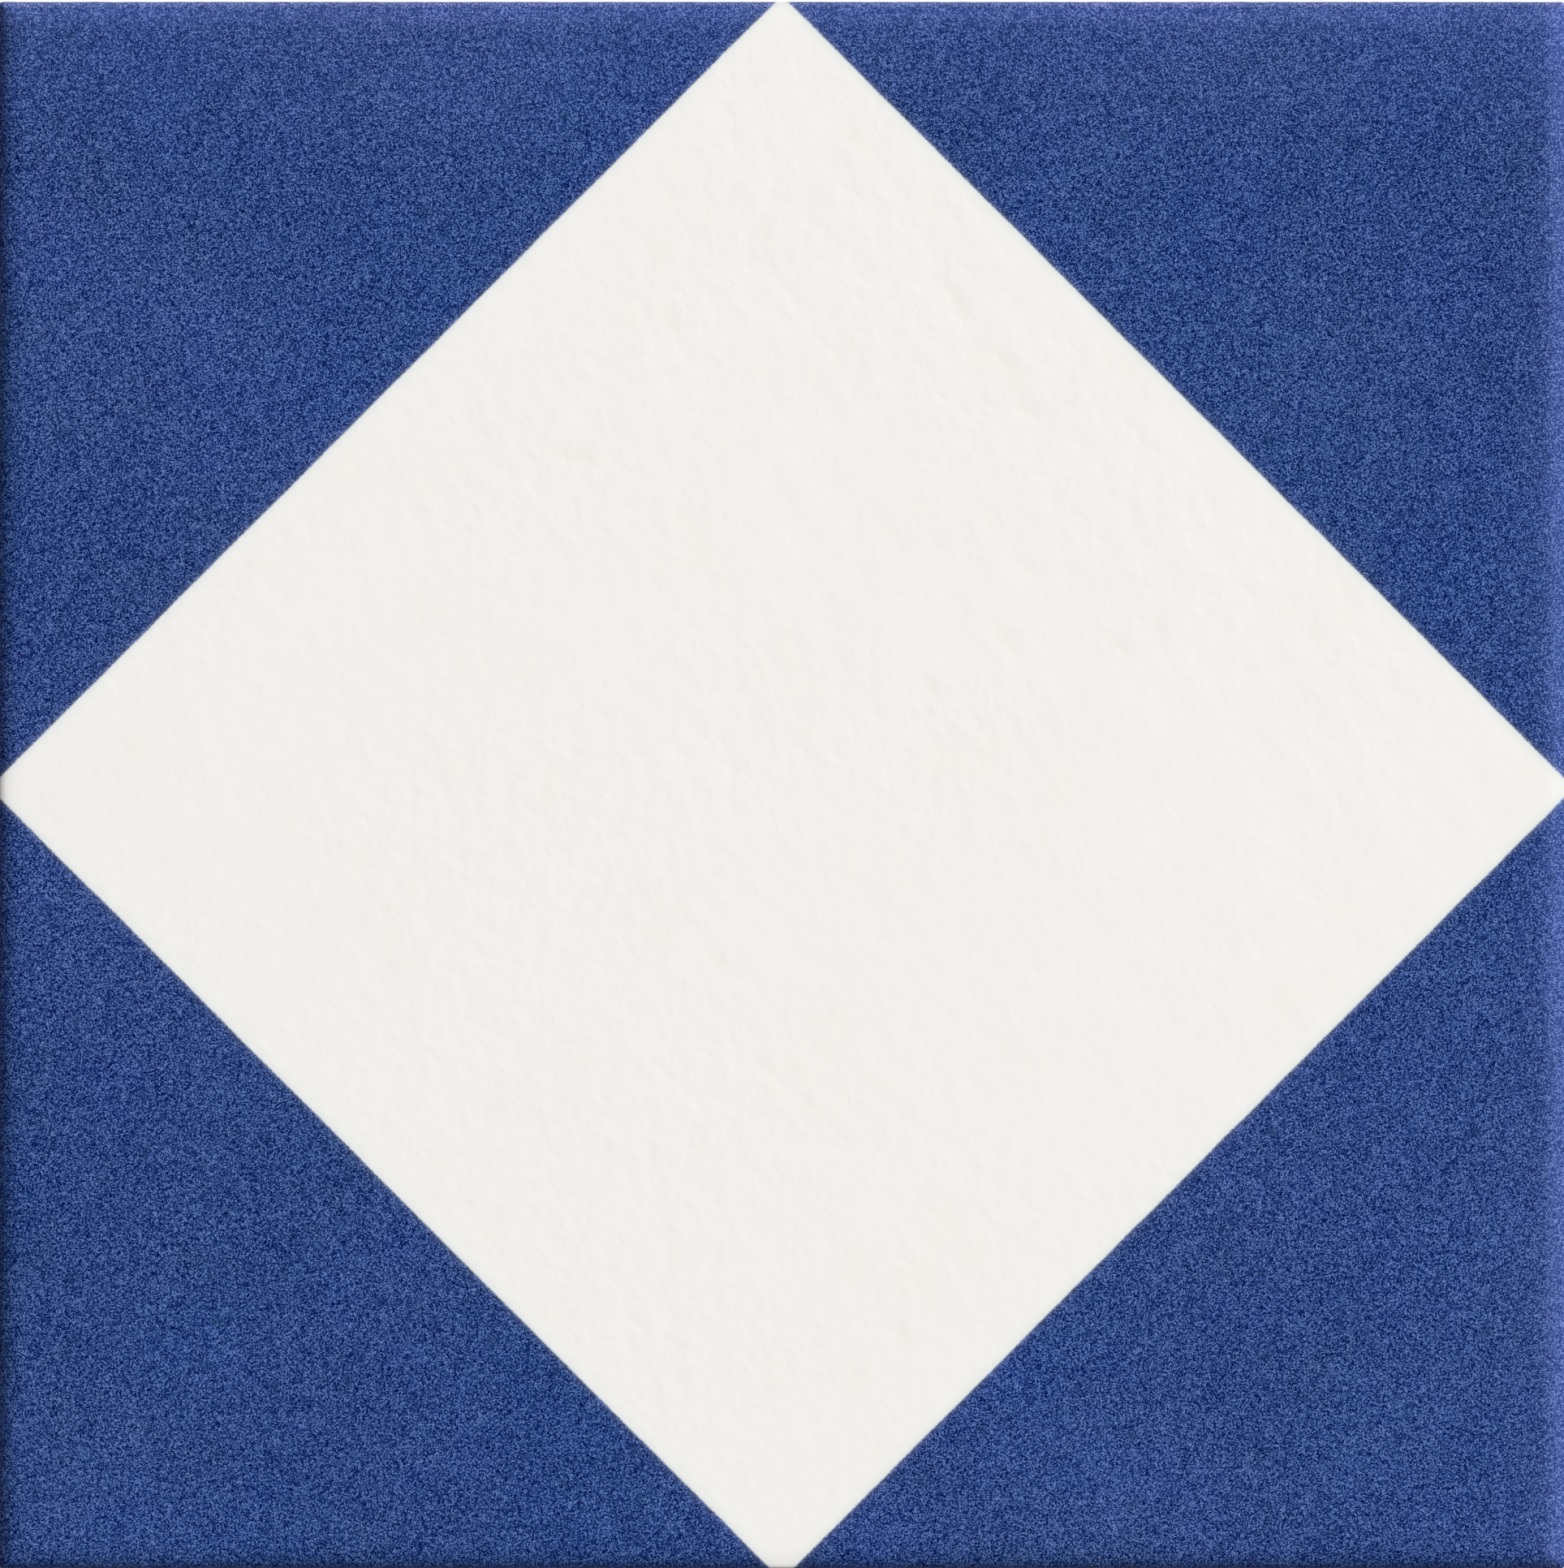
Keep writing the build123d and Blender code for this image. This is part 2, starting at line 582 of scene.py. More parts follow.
class MeshDraft:
    """Points, faces, texture places and coats of a mesh that is being put together, in millimetres."""

    UV_NAME = "OFBake"

    def __init__(self) -> None:
        """Start with nothing."""
        self.points: list[np.ndarray] = []
        self.dented: list[np.ndarray] = []
        self.count = 0
        self.faces: list[list[int]] = []
        self.places: list[np.ndarray] = []
        self.coats: list[int] = []

    def add_points(self, points: np.ndarray, dented: np.ndarray | float = 0.0) -> np.ndarray:
        """Add points.

        Args:
            points: Their coordinates, with x, y and z along the last axis.
            dented: How far each lies down in a dent, as a share of the dent's depth.

        Returns:
            Their numbers, in the shape of the other axes.
        """
        numbers = self.count + np.arange(points[..., 0].size).reshape(points.shape[:-1])
        self.points.append(points.reshape(-1, 3))
        self.dented.append(np.broadcast_to(dented, numbers.shape).ravel())
        self.count += numbers.size
        return numbers

    def add_faces(self, corners: np.ndarray, places: np.ndarray, coat: Coat) -> None:
        """Add faces with the same number of corners.

        Args:
            corners: The numbers of each face's points, counterclockwise from outside.
            places: Where each corner lies on the texture.
            coat: What covers these faces.
        """
        self.faces.extend(corners.tolist())
        self.places.append(places.reshape(-1, 2))
        self.coats.extend([coat.value] * len(corners))

    def to_object(self, name: str, sharp_angle: float) -> bpy.types.Object:
        """Make an object of it.

        Args:
            name: The object's name.
            sharp_angle: The angle in degrees at which an edge is sharp.

        Returns:
            The object, in the scene.
        """
        mesh = bpy.data.meshes.new(name)
        mesh.from_pydata((np.concatenate(self.points) * MM).tolist(), [], self.faces)
        mesh.polygons.foreach_set("material_index", self.coats)
        mesh.polygons.foreach_set("use_smooth", [True] * len(self.faces))
        layer = mesh.uv_layers.new(name=self.UV_NAME)
        layer.uv.foreach_set("vector", np.concatenate(self.places).astype(np.float32).ravel())
        dents = mesh.attributes.new(DENT_LAYER, "FLOAT", "POINT")
        dents.data.foreach_set("value", np.concatenate(self.dented).astype(np.float32))
        mesh.set_sharp_from_angle(angle=math.radians(sharp_angle))
        mesh.update()
        made = bpy.data.objects.new(name, mesh)
        bpy.context.scene.collection.objects.link(made)
        return made


def rounded_corners(
    x: np.ndarray, y: np.ndarray, half: float, radius: float
) -> tuple[np.ndarray, np.ndarray]:
    """Draw the points in a square's corners in, so that squares inside it get rounded corners.

    Args:
        x: Coordinates across.
        y: Coordinates along.
        half: Half of the side of the outermost square.
        radius: The radius of its corners.

    Returns:
        The new coordinates.
    """
    a = np.clip((np.abs(x) - half + radius) / radius, 0, None)
    b = np.clip((np.abs(y) - half + radius) / radius, 0, None)
    corner = (a > 0) & (b > 0)
    pull = np.where(corner, np.maximum(a, b) / np.maximum(np.hypot(a, b), TOLERANCE), 1.0)
    new_x = np.where(corner, np.sign(x) * (half - radius + radius * a * pull), x)
    new_y = np.where(corner, np.sign(y) * (half - radius + radius * b * pull), y)
    return new_x, new_y


@dataclass(frozen=True)
class PressedSection:
    """The section of the pressed tile, in millimetres and degrees."""

    side: float
    thickness: float
    corner_radius: float = 0.6
    fall_radius: float = 480.0
    fall_tilt: float = 0.9
    shoulder_radius: float = 4.2
    shoulder_tilt: float = 40.0
    arris_radius: float = 1.2
    wall_draft: float = 1.5
    back_bevel: float = 0.6
    wander: float = 0.07
    wander_size: float = 0.9
    wander_inset: float = 0.5
    flat_cells: int = 106
    fall_cells: int = 9
    shoulder_cells: int = 9
    arris_cells: int = 6

    def arcs(self) -> list[tuple[float, float, float, int]]:
        """Give the radius, first tilt, last tilt and cells of each arc from the flat to the wall."""
        return [
            (self.fall_radius, 0.0, self.fall_tilt, self.fall_cells),
            (self.shoulder_radius, self.fall_tilt, self.shoulder_tilt, self.shoulder_cells),
            (self.arris_radius, self.shoulder_tilt, 90.0, self.arris_cells),
        ]

    def half_face(self) -> np.ndarray:
        """Give the grid lines of half of the face.

        Returns:
            Rows of distance from the middle, height and length along the face.
        """
        rows = []
        runs = [r * (math.sin(math.radians(b)) - math.sin(math.radians(a))) for r, a, b, _ in self.arcs()]
        flat = self.side / 2 - sum(runs)
        for step in range(self.flat_cells + 1):
            rows.append((flat * step / self.flat_cells, self.thickness, flat * step / self.flat_cells))
        for radius, first, last, cells in self.arcs():
            x, z, path = rows[-1]
            start = math.radians(first)
            for step in range(1, cells + 1):
                tilt = math.radians(first + (last - first) * step / cells)
                run = radius * (math.sin(tilt) - math.sin(start))
                drop = radius * (math.cos(start) - math.cos(tilt))
                rows.append((x + run, z - drop, path + radius * (tilt - start)))
        return np.array(rows)

    def outline(self, x: np.ndarray, y: np.ndarray) -> tuple[np.ndarray, np.ndarray]:
        """Round the corners of the grid and draw its edge in a little, here more and there less.

        Args:
            x: Coordinates across.
            y: Coordinates along.

        Returns:
            The new coordinates.
        """
        half = self.side / 2
        near = np.clip(1 - (half - np.maximum(np.abs(x), np.abs(y))) / self.wander_inset, 0.0, 1.0)
        pull = near * self.wander * smooth_share(x / self.wander_size, y / self.wander_size, Wander.OUTLINE)
        x, y = rounded_corners(x, y, half, self.corner_radius)
        return x * (1 - pull / half), y * (1 - pull / half)

    def wall_half(self, height: np.ndarray) -> np.ndarray:
        """Give half of the width between the walls at a height below the arris."""
        foot = self.half_face()[-1][1]
        return self.side / 2 - (foot - height) * math.tan(math.radians(self.wall_draft))

    def back_half(self) -> float:
        """Give half of the width of the flat back."""
        return float(self.wall_half(np.array(self.back_bevel))) - self.back_bevel


def mirrored(half: np.ndarray) -> np.ndarray:
    """Give a row of distances from the middle out, with its mirror image before it."""
    return np.concatenate([-half[:0:-1], half])


def smooth_share(x: np.ndarray, y: np.ndarray, wander: Wander) -> np.ndarray:
    """Give smooth noise from 0 to 1.

    Args:
        x: Coordinates across, in features.
        y: Coordinates along, in features.
        wander: What it shapes.

    Returns:
        The noise at each place.
    """
    spots = zip(x.ravel().tolist(), y.ravel().tolist())
    found = [noise.noise(Vector((a, b, wander.value))) for a, b in spots]
    return np.clip(0.5 + 0.5 * np.array(found).reshape(x.shape), 0.0, 1.0)


@dataclass(frozen=True)
class Dent:
    """A shallow press mark in the face, in millimetres and degrees."""

    x: float
    y: float
    length: float
    turn: float
    depth: float
    width: float = 1.7

    def at(self, x: np.ndarray, y: np.ndarray) -> np.ndarray:
        """Give the share of the mark's full depth at each place."""
        c, s = math.cos(math.radians(self.turn)), math.sin(math.radians(self.turn))
        along = ((x - self.x) * c + (y - self.y) * s) / self.length
        aside = ((y - self.y) * c - (x - self.x) * s) / self.width
        return np.exp(-4 * (along * along + aside * aside))


@dataclass(frozen=True)
class FaceRelief:
    """The unevenness of the glazed face, all of it below the flat, in millimetres and degrees."""

    swell_size: float = 46.0
    swell_depth: float = 0.05
    ripple_size: float = 7.0
    ripple_depth: float = 0.016
    streak_turn: float = -57.0
    streak_length: float = 10.0
    streak_width: float = 2.8
    streak_depth: float = 0.056
    lively_span: float = 120.0
    lively_reach: tuple[float, float] = (0.25, 1.0)
    edge_fade: tuple[float, float] = (2.5, 9.0)
    dents: tuple[Dent, ...] = (
        Dent(22.0, 62.0, 5.1, -57.0, 0.065),
        Dent(29.0, 53.0, 5.4, -62.0, 0.055),
        Dent(32.0, 47.5, 5.1, -25.0, 0.065),
        Dent(48.1, 20.2, 4.5, -70.0, 0.051),
        Dent(43.2, 17.7, 4.2, -40.0, 0.046),
        Dent(28.4, 18.7, 5.4, -52.0, 0.065),
        Dent(31.4, 27.7, 4.2, -48.0, 0.051),
        Dent(19.0, 12.7, 3.8, -60.0, 0.044),
        Dent(-12.7, 33.8, 3.5, -45.0, 0.060),
        Dent(-27.0, 42.1, 6.7, -8.0, 0.046),
        Dent(-14.2, 59.0, 4.8, -64.0, 0.044),
        Dent(-8.2, -22.5, 4.2, -30.0, 0.055),
        Dent(15.0, -69.8, 4.2, -45.0, 0.055),
        Dent(8.9, 83.1, 4.5, -50.0, 0.051),
    )

    def depth(self, x: np.ndarray, y: np.ndarray, inset: np.ndarray) -> np.ndarray:
        """Give the depth below the smooth face.

        Args:
            x: Distances across from the middle.
            y: Distances along from the middle.
            inset: Distances in from the nearest side.

        Returns:
            The depths, which are never negative.
        """
        low, high = self.edge_fade
        fade = np.clip((inset - low) / (high - low), 0.0, 1.0)
        c, s = math.cos(math.radians(self.streak_turn)), math.sin(math.radians(self.streak_turn))
        along, aside = (x * c + y * s) / self.streak_length, (y * c - x * s) / self.streak_width
        total = self.swell_depth * smooth_share(x / self.swell_size, y / self.swell_size, Wander.SWELL)
        total += self.ripple_depth * smooth_share(x / self.ripple_size, y / self.ripple_size, Wander.RIPPLE)
        lively = np.clip(0.5 + (x + y) / self.lively_span, *self.lively_reach)
        total += lively * self.streak_depth * smooth_share(along, aside, Wander.STREAK)
        total += sum(dent.depth * dent.at(x, y) for dent in self.dents)
        return fade * fade * (3 - 2 * fade) * total

    def dented(self, x: np.ndarray, y: np.ndarray) -> np.ndarray:
        """Give the share of a dent's full depth at each place."""
        return np.clip(sum(dent.at(x, y) for dent in self.dents), 0.0, 1.0)


@dataclass(frozen=True)
class GlazeLip:
    """Where the glaze ends on the walls, in millimetres."""

    height: float = 4.4
    wander: float = 0.9
    wander_size: float = 13.0
    drip_size: float = 4.5
    drip_share: float = 0.35
    bead: float = 0.5
    coat: float = 0.09
    bead_shape: Pairs = ((1.0, 0.0), (0.4, 0.15), (0.1, 0.5), (0.0, 1.0))

    def line(self, x: np.ndarray, y: np.ndarray) -> np.ndarray:
        """Give the height of the glaze's lower edge round the tile.

        Args:
            x: Distances across of the points round the walls.
            y: Distances along of the points round the walls.

        Returns:
            The height at each point.
        """
        slow = smooth_share(x / self.wander_size, y / self.wander_size, Wander.LIP)
        quick = smooth_share(x / self.drip_size, y / self.drip_size, Wander.DRIP)
        return self.height + self.wander * (2 * slow - 1 + self.drip_share * (2 * quick - 1))


@dataclass(frozen=True)
class KeyedBack:
    """The back with its pockets between crossing ribs, in millimetres and degrees."""

    half: float
    pockets_per_row: int = 8
    rib_width: float = 3.2
    margin_width: float = 10.0
    pocket_depth: float = 0.75
    corner_radius: float = 3.5
    wall_tilt: float = 40.0
    rim: float = 0.22
    rim_drop: float = 0.05
    corner_lines: tuple[float, ...] = (0.45, 0.72)
    margin_cells: int = 3

    @property
    def pitch(self) -> float:
        """Give the distance from pocket to pocket."""
        return (2 * (self.half - self.margin_width) + self.rib_width) / self.pockets_per_row

    @property
    def pocket_half(self) -> float:
        """Give half of a pocket's width."""
        return (self.pitch - self.rib_width) / 2

    def rings(self) -> np.ndarray:
        """Give rows of distance in from a pocket's mouth and height, from rib to floor."""
        run = self.pocket_depth * math.tan(math.radians(self.wall_tilt))
        inward = (-self.rim, 0.0, run, run + self.rim)
        height = (0.0, self.rim_drop, self.pocket_depth - self.rim_drop, self.pocket_depth)
        return np.column_stack([inward, height])

    def lines(self) -> np.ndarray:
        """Give the grid lines of the back, from one edge to the other."""
        insets = [ring[0] for ring in self.rings()]
        insets += [share * self.corner_radius for share in self.corner_lines] + [self.corner_radius]
        found = {self.half * side for side in (-1, 1)}
        for pocket in range(self.pockets_per_row):
            middle = (pocket + 0.5 - self.pockets_per_row / 2) * self.pitch
            found.update(middle + side * (self.pocket_half - inset) for inset in insets for side in (-1, 1))
            found.add(middle + self.pitch / 2)
        inner = self.half - self.margin_width + self.rim
        margin = (inner + TOLERANCE, self.half - TOLERANCE)
        found = {line for line in found if not margin[0] < abs(line) < margin[1]}
        for step in range(1, self.margin_cells):
            place = inner + (self.half - inner) * step / self.margin_cells
            found.update((-place, place))
        return np.array(sorted(found))

    def form(self, x: np.ndarray, y: np.ndarray) -> np.ndarray:
        """Give the points of the back at the crossings of its grid lines.

        Args:
            x: Distances across.
            y: Distances along.

        Returns:
            The points, with x, y and z along the last axis.
        """
        most = self.pockets_per_row / 2 - 0.5
        centres = [self.pitch * np.clip(np.floor(v / self.pitch) + 0.5, -most, most) for v in (x, y)]
        u, v = x - centres[0], y - centres[1]
        rings = self.rings()
        height = np.interp(self.pocket_half - np.maximum(np.abs(u), np.abs(v)), rings[:, 0], rings[:, 1])
        outer = self.pocket_half + self.rim
        within = np.maximum(np.abs(u), np.abs(v)) <= outer + TOLERANCE
        round_u, round_v = rounded_corners(u, v, outer, self.corner_radius + self.rim)
        u, v = np.where(within, round_u, u), np.where(within, round_v, v)
        return np.stack([centres[0] + u, centres[1] + v, height], axis=-1)


@dataclass(frozen=True)
class TextureLayout:
    """Where the face, the walls and the back lie on the square texture."""

    face: float = 0.84
    back: float = 0.15
    gap: float = 0.006
    strip: float = 0.03
    bevel_top: float = 0.92

    def on_face(self, a: np.ndarray, b: np.ndarray) -> np.ndarray:
        """Give places on the face's part, from shares of it across and along."""
        return np.stack([a, b], axis=-1) * self.face

    def on_back(self, a: np.ndarray, b: np.ndarray) -> np.ndarray:
        """Give places on the back's part, from shares of it across and along."""
        return np.stack([a, b], axis=-1) * self.back + np.array([self.face + self.gap, 0.0])

    def on_wall(self, side: int, along: np.ndarray, down: np.ndarray) -> np.ndarray:
        """Give places on one wall's strip, from shares of it along and down."""
        start = self.face + self.gap + side * (self.strip + self.gap)
        return np.stack([along * self.face, start + down * self.strip], axis=-1)


@dataclass
class FieldTile:
    """The tile: a glazed face, four walls and a keyed back in one closed mesh."""

    section: PressedSection
    back: KeyedBack
    relief: FaceRelief = field(default_factory=FaceRelief)
    lip: GlazeLip = field(default_factory=GlazeLip)
    layout: TextureLayout = field(default_factory=TextureLayout)
    glaze: GlazeFinish = field(default_factory=GlazeFinish)
    body: FiredBodyFinish = field(default_factory=FiredBodyFinish)
    sharp_angle: float = 38.0

    @classmethod
    def from_frame(cls) -> "FieldTile":
        """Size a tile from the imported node."""
        low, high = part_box(NODE)
        section = PressedSection((high.x - low.x) / MM, (high.z - low.z) / MM)
        return cls(section, KeyedBack(section.back_half()))

    def build(self) -> bpy.types.Object:
        """Make the tile's mesh.

        Returns:
            The object that stands for the tile.
        """
        draft = MeshDraft()
        face = self._add_face(draft)
        foot = self._add_walls(draft, face)
        self._add_back(draft, foot)
        return draft.to_object("tile", self.sharp_angle)

    def dress(self, tile: bpy.types.Object) -> None:
        """Give the tile its finishes and its place in the frame."""
        tile.data.materials.append(self.glaze.material(self.section.side / 2))
        tile.data.materials.append(self.body.material())
        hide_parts(NODE)
        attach(tile, "root")

    def _add_face(self, draft: MeshDraft) -> np.ndarray:
        """Add the glazed face down to the arris.

        Args:
            draft: The mesh that it goes in.

        Returns:
            The numbers of its points, by grid line across and along.
        """
        reach, height, path = self.section.half_face().T
        cells = len(reach) - 1
        line = mirrored(reach)
        share = 0.5 + 0.5 * mirrored(path) / path[-1]
        steps = np.abs(np.arange(-cells, cells + 1))
        x, y = np.meshgrid(line, line, indexing="ij")
        ring = np.maximum(*np.meshgrid(steps, steps, indexing="ij"))
        inset = path[-1] - path[ring]
        z = height[ring] - self.relief.depth(x, y, inset)
        dented = self.relief.dented(x, y)
        x, y = self.section.outline(x, y)
        numbers = draft.add_points(np.stack([x, y, z], axis=-1), dented)
        places = self.layout.on_face(*np.meshgrid(share, share, indexing="ij"))
        self._add_grid(draft, numbers, places, Coat.GLAZE)
        return numbers

    @staticmethod
    def _add_grid(draft: MeshDraft, numbers: np.ndarray, places: np.ndarray, coat: Coat) -> None:
        """Add the cells of a square grid, facing up, with those on its diagonals split along them.

        Args:
            draft: The mesh that they go in.
            numbers: The grid's points.
            places: Where the points lie on the texture.
            coat: What covers the grid.
        """
        last = len(numbers) - 1
        i, j = np.meshgrid(np.arange(last), np.arange(last), indexing="ij")
        main, cross = i == j, i + j == last - 1
        quad, rising, falling = ((0, 0), (1, 0), (1, 1), (0, 1)), ((0, 0), (1, 1)), ((0, 1), (1, 0))
        shapes = [
            (~(main | cross), quad),
            (main, (quad[0], quad[1], rising[1])),
            (main, (rising[0], rising[1], quad[3])),
            (cross & ~main, (quad[0], falling[1], falling[0])),
            (cross & ~main, (falling[1], quad[2], falling[0])),
        ]
        for chosen, corners in shapes:
            at = [(i[chosen] + a, j[chosen] + b) for a, b in corners]
            draft.add_faces(
                np.stack([numbers[spot] for spot in at], axis=-1),
                np.stack([places[spot] for spot in at], axis=1),
                coat,
            )

    @staticmethod
    def _rim(grid: np.ndarray) -> Iterator[np.ndarray]:
        """Give a square grid's outermost entries, side by side, counterclockwise from above."""
        yield grid[:, 0]
        yield grid[-1, :]
        yield grid[::-1, -1]
        yield grid[0, ::-1]

    def _add_walls(self, draft: MeshDraft, face: np.ndarray) -> list[np.ndarray]:
        """Add the walls from the arris down to the bevel, with the glaze's lower edge on them.

        Args:
            draft: The mesh that they go in.
            face: The numbers of the face's points.

        Returns:
            The numbers of the points at each wall's foot, counterclockwise from above.
        """
        reach, height, _ = self.section.half_face().T
        line = mirrored(reach)
        grid_x, grid_y = np.meshgrid(line, line, indexing="ij")
        loops = [np.concatenate([side[:-1] for side in self._rim(grid)]) for grid in (grid_x, grid_y, face)]
        x, y, upper = loops
        out_x, out_y = self.section.outline(x, y)
        lip = self.lip.line(x, y)
        level = np.ones_like(lip)
        top, foot = height[-1], self.section.back_bevel
        bead, coat = self.lip.bead, self.lip.coat
        rows = [
            (level * (top + lip + bead) / 2, 0.0, Coat.GLAZE),
            *((lip + bead * up, coat * inward, Coat.GLAZE) for up, inward in self.lip.bead_shape),
            ((lip + foot) / 2, coat, Coat.BODY),
            (level * foot, coat, Coat.BODY),
        ]
        per_side = len(line) - 1
        span = (np.arange(len(x)) % per_side) / per_side
        above = level * top
        for z, sunk, cover in rows:
            half = self.section.wall_half(z) - sunk
            scale = half / (self.section.side / 2)
            lower = draft.add_points(np.stack([out_x * scale, out_y * scale, z], axis=-1))
            for side in range(4):
                here = np.arange(side * per_side, (side + 1) * per_side)
                after = (here + 1) % len(x)
                ends = np.append(span[here][1:], 1.0)
                down = [1 - depth / top for depth in (above, z)]
                around = ((span[here], 1, here), (ends, 1, after), (ends, 0, after), (span[here], 0, here))
                places = [self.layout.on_wall(side, along, down[row][at]) for along, row, at in around]
                corners = np.stack([lower[here], lower[after], upper[after], upper[here]], axis=-1)
                draft.add_faces(corners, np.stack(places, axis=1), cover)
            upper, above = lower, z
        whole = np.arange(per_side + 1)
        return [np.take(upper, side * per_side + whole, mode="wrap") for side in range(4)]

    def _add_back(self, draft: MeshDraft, foot: list[np.ndarray]) -> None:
        """Add the keyed back and the bevel that joins it to the walls.

        Args:
            draft: The mesh that they go in.
            foot: The numbers of the points at each wall's foot.
        """
        lines = self.back.lines()
        x, y = np.meshgrid(lines, lines, indexing="ij")
        numbers = draft.add_points(self.back.form(x, y))
        share = 0.5 + 0.5 * lines / self.back.half
        places = self.layout.on_back(*np.meshgrid(share, share, indexing="ij"))
        self._add_grid(draft, numbers.T, places.transpose(1, 0, 2), Coat.BODY)
        reach = self.section.half_face()[:, 0]
        upper_share = 0.5 + 0.5 * mirrored(reach) / reach[-1]
        for side, lower in enumerate(self._rim(numbers)):
            self._zip(draft, side, (foot[side], upper_share), (lower, share))

    def _zip(
        self,
        draft: MeshDraft,
        side: int,
        upper: tuple[np.ndarray, np.ndarray],
        lower: tuple[np.ndarray, np.ndarray],
    ) -> None:
        """Join two rows of points along one side with triangles.

        Args:
            draft: The mesh that they go in.
            side: Which side it is.
            upper: The numbers of the upper points and their shares along the side.
            lower: The same for the lower points.
        """
        corners, places = [], []
        top, bottom = 0, 0
        while top < len(upper[0]) - 1 or bottom < len(lower[0]) - 1:
            spent = bottom == len(lower[0]) - 1
            lift = not spent and (top == len(upper[0]) - 1 or lower[1][bottom + 1] <= upper[1][top + 1])
            spots = [(lower, bottom, 1.0), (upper, top, self.layout.bevel_top)]
            if lift:
                spots.insert(1, (lower, bottom + 1, 1.0))
            else:
                spots.insert(1, (upper, top + 1, self.layout.bevel_top))
            corners.append([row[0][at] for row, at, _ in spots])
            places.append([self.layout.on_wall(side, row[1][at], down) for row, at, down in spots])
            top, bottom = top + (not lift), bottom + lift
        draft.add_faces(np.array(corners), np.array(places), Coat.BODY)


@dataclass(frozen=True)
class Softbox:
    """A square studio lamp that faces the tile, in metres and degrees."""

    name: str
    azimuth: float
    elevation: float
    share: float
    distance: float = 12.0
    size: float = 4.0

    def build(self) -> bpy.types.Object:
        """Make the lamp. Its share is how much of a white's full brightness it gives the level face."""
        across, up = math.cos(math.radians(self.elevation)), math.sin(math.radians(self.elevation))
        turn = math.radians(self.azimuth)
        toward = Vector((across * math.cos(turn), across * math.sin(turn), up))
        lamp = bpy.data.lights.new(self.name, "AREA")
        lamp.size = self.size
        lamp.energy = self.share * (math.pi * self.distance) ** 2 / up
        made = bpy.data.objects.new(self.name, lamp)
        made.location = toward * self.distance
        made.rotation_euler = toward.to_track_quat("Z", "Y").to_euler()
        bpy.context.scene.collection.objects.link(made)
        return made


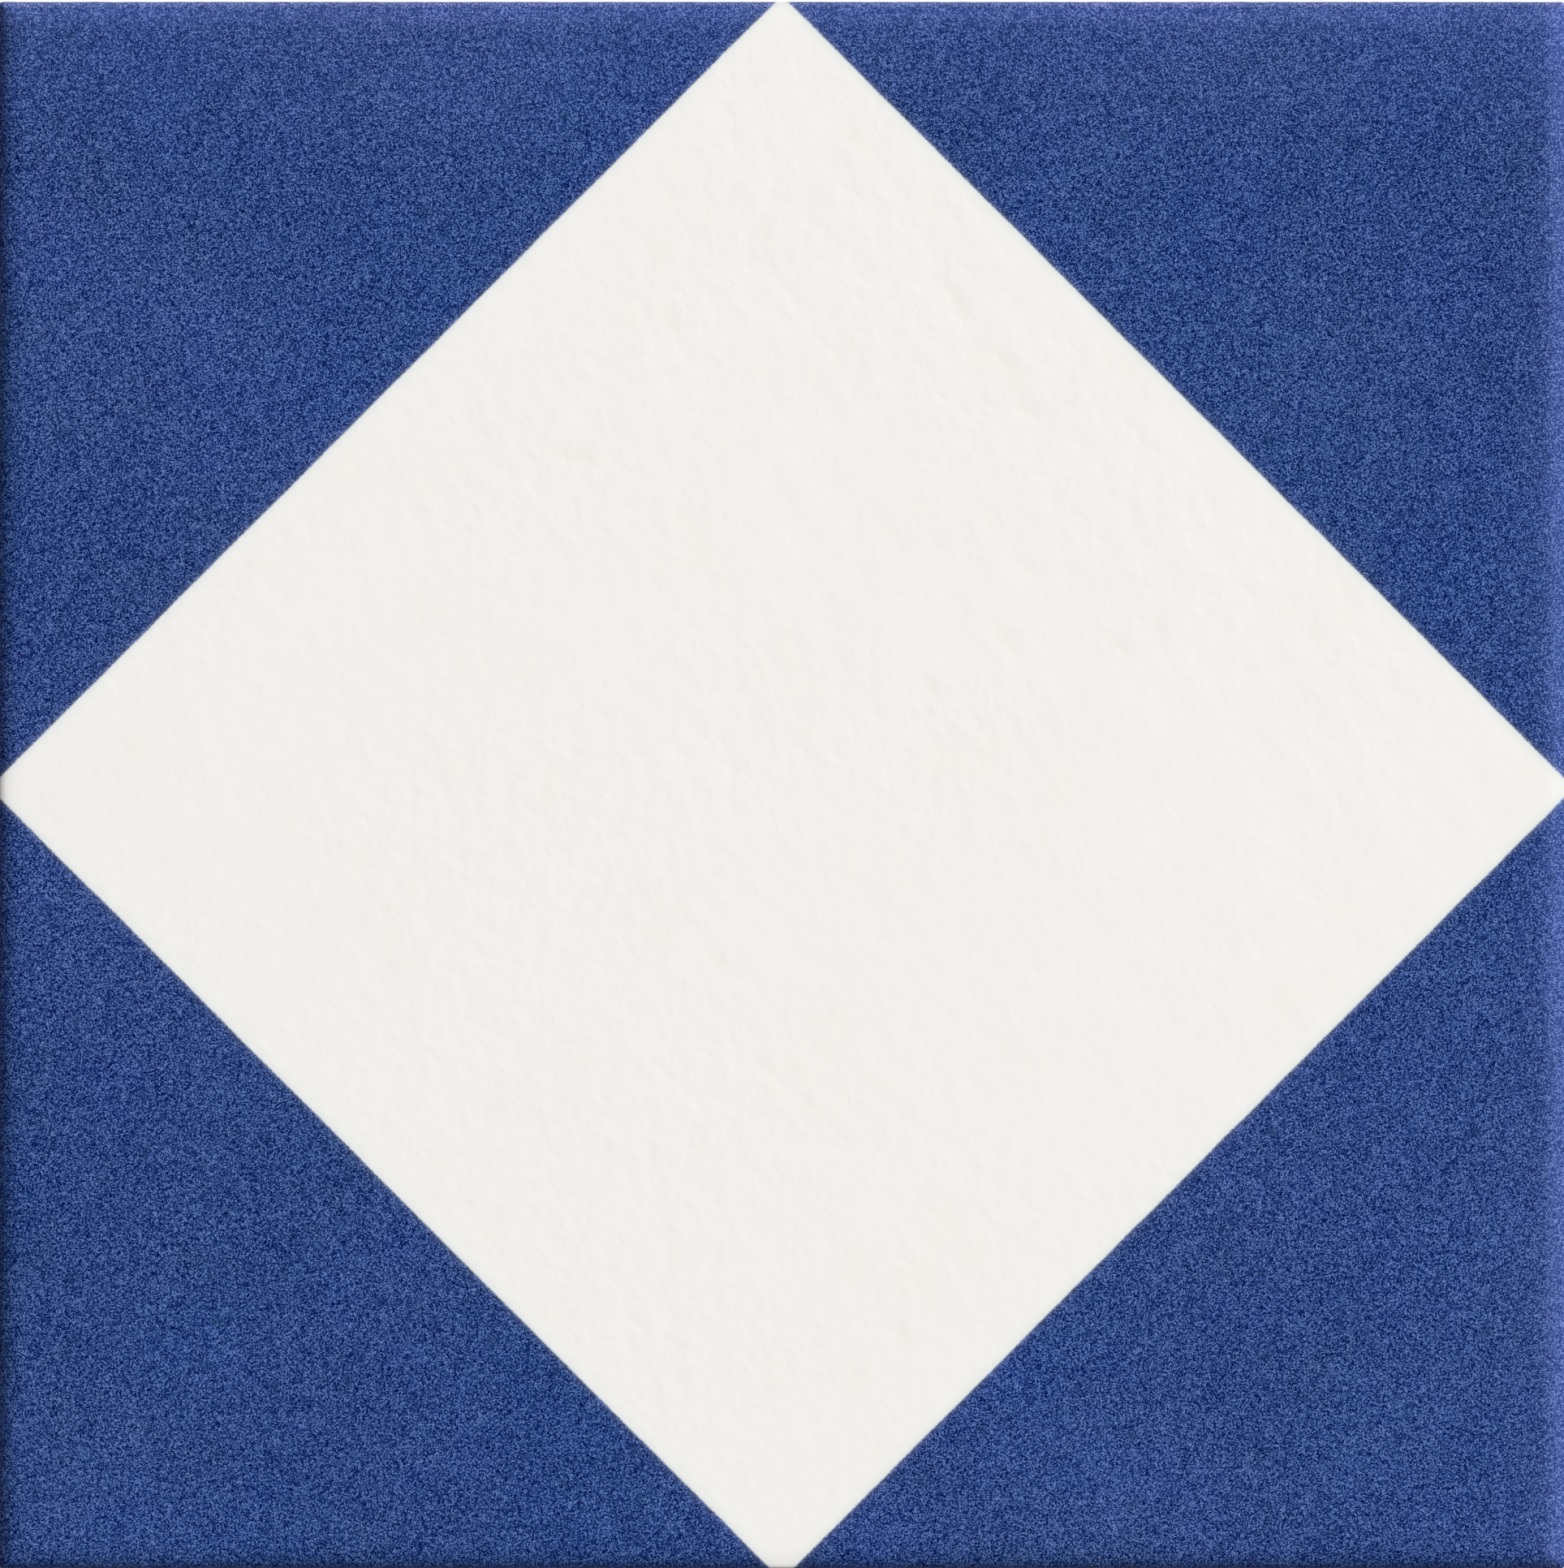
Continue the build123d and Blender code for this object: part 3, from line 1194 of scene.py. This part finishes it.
@dataclass(frozen=True)
class Studio:
    """The pale floor, the lamps and the light all round."""

    softboxes: tuple[Softbox, ...] = (
        Softbox("right_softbox", azimuth=10.0, elevation=41.0, share=0.57),
        Softbox("far_softbox", azimuth=73.0, elevation=55.0, share=0.41),
    )
    surround: Colour = (0.06, 0.06, 0.062)
    backdrop: Colour = (1.0, 1.0, 1.0)
    floor_colour: Colour = from_screen(236, 240, 243)
    floor_half: float = 40.0
    floor_drop: float = 0.00005
    floor_roughness: float = 0.9
    floor_specular: float = 0.1

    def build(self) -> None:
        """Make the lamps, the surroundings and the floor."""
        for softbox in self.softboxes:
            softbox.build()
        world = bpy.data.worlds.new("surround")
        bpy.context.scene.world = world
        tree = ShaderTree(world)
        paths = tree.node("ShaderNodeLightPath").outputs
        seen = Signal(tree, paths["Is Camera Ray"])
        for name in ("Is Glossy Ray", "Is Transmission Ray"):
            seen = seen.most(Signal(tree, paths[name]))
        colour = tree.mix(seen, self.surround, self.backdrop)
        light = tree.signal("ShaderNodeBackground", None, {"Color": colour})
        tree.node("ShaderNodeOutputWorld", None, {"Surface": light})
        self._floor()

    def _floor(self) -> bpy.types.Object:
        """Make the floor."""
        h, z = self.floor_half, -self.floor_drop
        mesh = bpy.data.meshes.new("floor")
        mesh.from_pydata([(-h, -h, z), (h, -h, z), (h, h, z), (-h, h, z)], [], [(0, 1, 2, 3)])
        made = bpy.data.objects.new("floor", mesh)
        bpy.context.scene.collection.objects.link(made)
        paper = bpy.data.materials.new("floor_paper")
        tree = ShaderTree(paper)
        tree.surface(
            {
                "Base Color": (*self.floor_colour, 1.0),
                "Roughness": self.floor_roughness,
                "Specular IOR Level": self.floor_specular,
            }
        )
        mesh.materials.append(paper)
        return made


@dataclass(frozen=True)
class PhotoCamera:
    """A camera that looks straight down on the tile, framed as the photograph is, in its pixels."""

    image_width: int = 1927
    image_height: int = 1932
    tile_side: float = 1931.0
    tile_middle: tuple[float, float] = (963.3, 967.6)
    height: float = 3.0
    sensor: float = 36.0

    def build(self, tile: PressedSection) -> bpy.types.Object:
        """Make the camera and give it to the scene.

        Args:
            tile: The section of the tile, whose widest outline fills the frame.

        Returns:
            The camera.
        """
        metres_per_pixel = tile.side * MM / self.tile_side
        lens = bpy.data.cameras.new("photo_camera")
        lens.sensor_fit = "VERTICAL"
        lens.sensor_height = self.sensor
        lens.sensor_width = self.sensor
        lens.lens = self.sensor * self.height / (self.image_height * metres_per_pixel)
        lens.clip_end = 200.0
        made = bpy.data.objects.new("photo_camera", lens)
        shift_x = self.image_width / 2 - self.tile_middle[0]
        shift_y = self.tile_middle[1] - self.image_height / 2
        widest = tile.half_face()[-1][1] * MM
        made.location = (shift_x * metres_per_pixel, shift_y * metres_per_pixel, widest + self.height)
        bpy.context.scene.collection.objects.link(made)
        bpy.context.scene.camera = made
        return made


def write_sizes() -> None:
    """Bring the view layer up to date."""
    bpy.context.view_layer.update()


def main() -> None:
    """Build the tile, the studio and the camera in order."""
    logging.basicConfig(level=logging.INFO, format="%(message)s")
    bpy.context.scene.view_settings.view_transform = "Standard"
    tile = FieldTile.from_frame()
    piece = tile.build()
    tile.dress(piece)
    LOG.info("%s: %d faces", piece.name, len(piece.data.polygons))
    Studio().build()
    LOG.info("studio: floor and lamps")
    camera = PhotoCamera().build(tile.section)
    LOG.info("%s: %.0f mm lens", camera.name, camera.data.lens)
    write_sizes()


if __name__ == "__main__":
    main()
